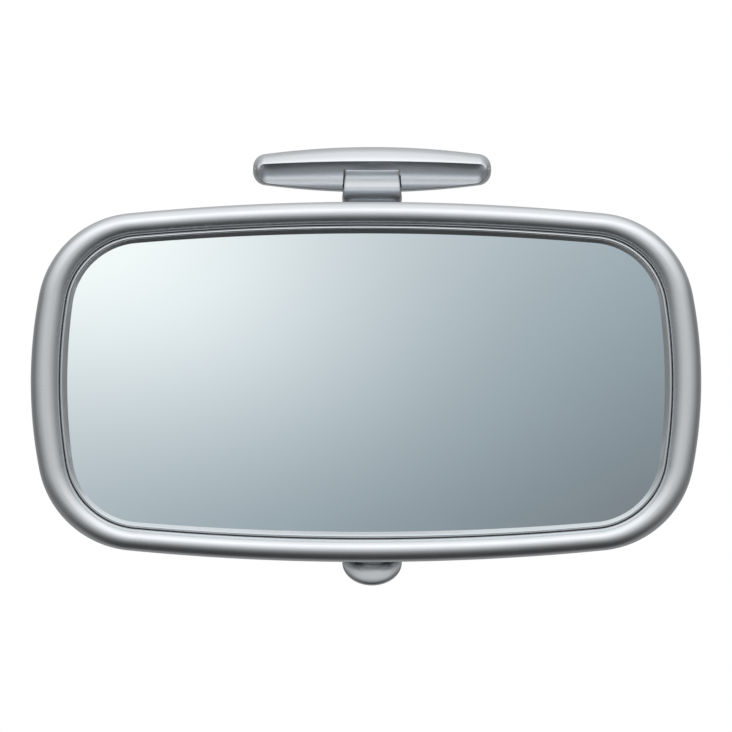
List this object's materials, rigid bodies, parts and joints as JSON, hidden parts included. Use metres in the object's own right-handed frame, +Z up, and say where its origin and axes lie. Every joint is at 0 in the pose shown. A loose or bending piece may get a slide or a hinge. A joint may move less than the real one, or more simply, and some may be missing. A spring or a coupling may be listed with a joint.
{
  "type": "interior rearview mirror",
  "caption": "Interior rearview mirror with a rounded chrome bezel, a ball-jointed arm on a header foot and a day/night lever under the head.",
  "frame": {"origin": "centre of the foot's flat mounting face", "axes": "+X to the right seen from the driver, +Y out of the mounting face towards the header, +Z up"},
  "size_m": [0.22, 0.0619, 0.144],
  "materials": {
    "satin_chrome": "satin",
    "bright_trim": "satin bright",
    "satin_case": "satin",
    "mirror_glass": "polished",
    "silvering": "polished",
    "foam": "matte",
    "pad_rubber": "matte",
    "zinc_steel": "zinc plated",
    "screw_steel": "darkened",
    "spring_steel": "ground",
    "black_plastic": "matte",
    "nylon": "natural"
  },
  "bodies": {
    "mount": {"mount_pad": "pad_rubber", "base_plate": "zinc_steel", "foot_cover": "satin_chrome", "cover_clips": "spring_steel", "foot_pivot_bolt": "zinc_steel", "foot_pivot_nut": "zinc_steel", "friction_washers": "black_plastic", "spring_washer": "spring_steel"},
    "arm": {"arm": "satin_chrome", "ball_stud": "zinc_steel", "stud_lock_washer": "spring_steel", "stud_nut": "zinc_steel"},
    "yaw_liner": {"ball_liner": "nylon"},
    "pitch_cup": {"pressure_cup": "nylon", "disc_springs": "spring_steel"},
    "bracket": {"toggle_bracket": "black_plastic", "socket_retainer": "zinc_steel", "retainer_screws": "zinc_steel", "detent_spring": "spring_steel", "detent_screw": "zinc_steel"},
    "head": {"rear_case": "satin_case", "bezel": "satin_chrome", "inner_trim": "bright_trim", "mirror_glass": "mirror_glass", "reflective_coating": "silvering", "foam_pad": "foam", "glass_carrier": "black_plastic", "bracket_pivot_pin": "zinc_steel", "lever_pin": "zinc_steel", "case_screws": "screw_steel"},
    "lever": {"lever_tab": "satin_chrome", "lever_hub": "nylon", "drive_pin": "zinc_steel"}
  },
  "joints": [
    {"name": "arm_tilt", "type": "hinge", "parent": "mount", "child": "arm", "pos_m": [0, -0.0085, 0], "axis": [1, 0, 0], "range_deg": [-10, 10]},
    {"name": "head_yaw", "type": "hinge", "parent": "arm", "child": "yaw_liner", "pos_m": [0, -0.036, -0.062], "axis": [0, 0, 1], "range_deg": [-20, 20]},
    {"name": "head_pitch", "type": "hinge", "parent": "yaw_liner", "child": "pitch_cup", "pos_m": [0, -0.036, -0.062], "axis": [1, 0, 0], "range_deg": [-15, 15]},
    {"name": "head_roll", "type": "hinge", "parent": "pitch_cup", "child": "bracket", "pos_m": [0, -0.036, -0.062], "axis": [0, 1, 0], "range_deg": [-10, 10]},
    {"name": "day_night_flip", "type": "hinge", "parent": "bracket", "child": "head", "pos_m": [0, -0.041, -0.026], "axis": [-1, 0, 0], "range_deg": [0, 4]},
    {"name": "lever_flip", "type": "hinge", "parent": "head", "child": "lever", "pos_m": [0, -0.041, -0.118], "axis": [-1, 0, 0], "range_deg": [0, 30]}
  ],
  "couplings": [
    {"joint": "lever_flip", "follows": "day_night_flip", "ratio": 7.5}
  ]
}
